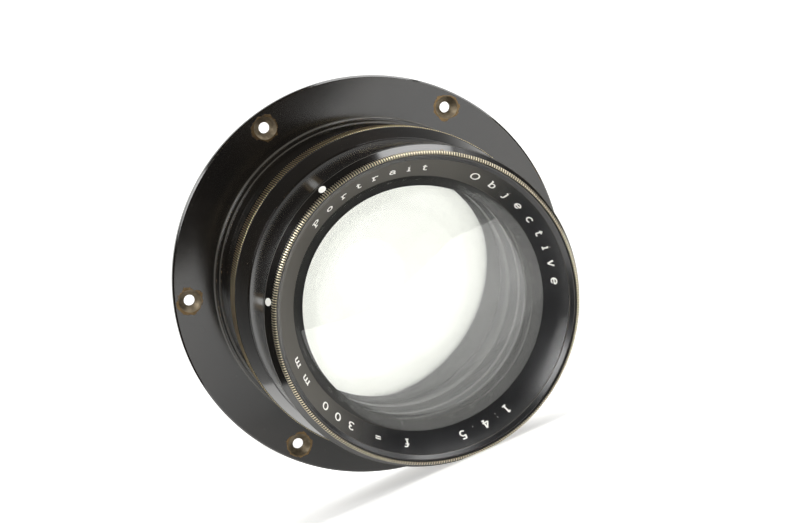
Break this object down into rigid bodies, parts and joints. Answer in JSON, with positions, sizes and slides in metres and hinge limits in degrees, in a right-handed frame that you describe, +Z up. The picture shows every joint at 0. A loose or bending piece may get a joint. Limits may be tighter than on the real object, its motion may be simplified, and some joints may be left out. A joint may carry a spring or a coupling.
{
  "type": "barrel portrait lens",
  "caption": "Large brass barrel portrait lens in black lacquer, with a countersunk mounting flange, knurled aperture ring, conical name ring, glass groups and a working leaf iris.",
  "frame": {"origin": "centre of the flange's rear mounting face, on the optical axis", "axes": "-Y along the optical axis towards the front of the lens, +Y out of the mounting face towards the camera, +Z up, with the lens lying on the lowest point of its two rims"},
  "size_m": [0.124, 0.079, 0.124],
  "materials": {
    "black_lacquer": "glossy black lacquer over brass, brass showing on the knurls and worn edges",
    "satin_black": "satin black over brass",
    "brass": "bare machined brass, lightly tarnished",
    "blade_steel": "blued thin steel",
    "enamel": "white enamel fill",
    "glass": "polished optical glass, uncoated"
  },
  "bodies": {
    "lens_body": {"mounting_flange": "black_lacquer", "main_barrel": "black_lacquer", "front_barrel": "black_lacquer", "index_dots": "enamel", "front_cell": "black_lacquer", "name_ring": "satin_black", "front_element": "glass", "spacer_ring": "satin_black", "second_element": "glass", "iris_retaining_ring": "satin_black", "iris_base_plate": "satin_black", "rear_cell": "satin_black", "third_element": "glass", "rear_element": "glass", "rear_retaining_ring": "satin_black"},
    "aperture_control": {"aperture_ring": "black_lacquer", "iris_drive_ring": "satin_black", "drive_screw": "brass"},
    "iris_blade_01": {"iris_blade_01": "blade_steel"},
    "iris_blade_02": {"iris_blade_02": "blade_steel"},
    "iris_blade_03": {"iris_blade_03": "blade_steel"},
    "iris_blade_04": {"iris_blade_04": "blade_steel"},
    "iris_blade_05": {"iris_blade_05": "blade_steel"},
    "iris_blade_06": {"iris_blade_06": "blade_steel"},
    "iris_blade_07": {"iris_blade_07": "blade_steel"},
    "iris_blade_08": {"iris_blade_08": "blade_steel"},
    "iris_blade_09": {"iris_blade_09": "blade_steel"},
    "iris_blade_10": {"iris_blade_10": "blade_steel"},
    "iris_blade_11": {"iris_blade_11": "blade_steel"},
    "iris_blade_12": {"iris_blade_12": "blade_steel"}
  },
  "joints": [
    {"name": "aperture_turn", "type": "hinge", "parent": "lens_body", "child": "aperture_control", "pos_m": [0, -0.0342, 0], "axis": [0, -1, 0], "range_deg": [0, 80.13]},
    {"name": "blade_01_swing", "type": "hinge", "parent": "lens_body", "child": "iris_blade_01", "pos_m": [0.0362, -0.0345, 0], "axis": [0, -1, 0], "range_deg": [0, 40.06]},
    {"name": "blade_02_swing", "type": "hinge", "parent": "lens_body", "child": "iris_blade_02", "pos_m": [0.03135, -0.0345, 0.0181], "axis": [0, -1, 0], "range_deg": [0, 40.06]},
    {"name": "blade_03_swing", "type": "hinge", "parent": "lens_body", "child": "iris_blade_03", "pos_m": [0.0181, -0.0345, 0.03135], "axis": [0, -1, 0], "range_deg": [0, 40.06]},
    {"name": "blade_04_swing", "type": "hinge", "parent": "lens_body", "child": "iris_blade_04", "pos_m": [0, -0.0345, 0.0362], "axis": [0, -1, 0], "range_deg": [0, 40.06]},
    {"name": "blade_05_swing", "type": "hinge", "parent": "lens_body", "child": "iris_blade_05", "pos_m": [-0.0181, -0.0345, 0.03135], "axis": [0, -1, 0], "range_deg": [0, 40.06]},
    {"name": "blade_06_swing", "type": "hinge", "parent": "lens_body", "child": "iris_blade_06", "pos_m": [-0.03135, -0.0345, 0.0181], "axis": [0, -1, 0], "range_deg": [0, 40.06]},
    {"name": "blade_07_swing", "type": "hinge", "parent": "lens_body", "child": "iris_blade_07", "pos_m": [-0.0362, -0.0345, 0], "axis": [0, -1, 0], "range_deg": [0, 40.06]},
    {"name": "blade_08_swing", "type": "hinge", "parent": "lens_body", "child": "iris_blade_08", "pos_m": [-0.03135, -0.0345, -0.0181], "axis": [0, -1, 0], "range_deg": [0, 40.06]},
    {"name": "blade_09_swing", "type": "hinge", "parent": "lens_body", "child": "iris_blade_09", "pos_m": [-0.0181, -0.0345, -0.03135], "axis": [0, -1, 0], "range_deg": [0, 40.06]},
    {"name": "blade_10_swing", "type": "hinge", "parent": "lens_body", "child": "iris_blade_10", "pos_m": [0, -0.0345, -0.0362], "axis": [0, -1, 0], "range_deg": [0, 40.06]},
    {"name": "blade_11_swing", "type": "hinge", "parent": "lens_body", "child": "iris_blade_11", "pos_m": [0.0181, -0.0345, -0.03135], "axis": [0, -1, 0], "range_deg": [0, 40.06]},
    {"name": "blade_12_swing", "type": "hinge", "parent": "lens_body", "child": "iris_blade_12", "pos_m": [0.03135, -0.0345, -0.0181], "axis": [0, -1, 0], "range_deg": [0, 40.06]}
  ],
  "couplings": [
    {"joint": "blade_01_swing", "follows": "aperture_turn", "ratio": 0.5},
    {"joint": "blade_02_swing", "follows": "aperture_turn", "ratio": 0.5},
    {"joint": "blade_03_swing", "follows": "aperture_turn", "ratio": 0.5},
    {"joint": "blade_04_swing", "follows": "aperture_turn", "ratio": 0.5},
    {"joint": "blade_05_swing", "follows": "aperture_turn", "ratio": 0.5},
    {"joint": "blade_06_swing", "follows": "aperture_turn", "ratio": 0.5},
    {"joint": "blade_07_swing", "follows": "aperture_turn", "ratio": 0.5},
    {"joint": "blade_08_swing", "follows": "aperture_turn", "ratio": 0.5},
    {"joint": "blade_09_swing", "follows": "aperture_turn", "ratio": 0.5},
    {"joint": "blade_10_swing", "follows": "aperture_turn", "ratio": 0.5},
    {"joint": "blade_11_swing", "follows": "aperture_turn", "ratio": 0.5},
    {"joint": "blade_12_swing", "follows": "aperture_turn", "ratio": 0.5}
  ]
}
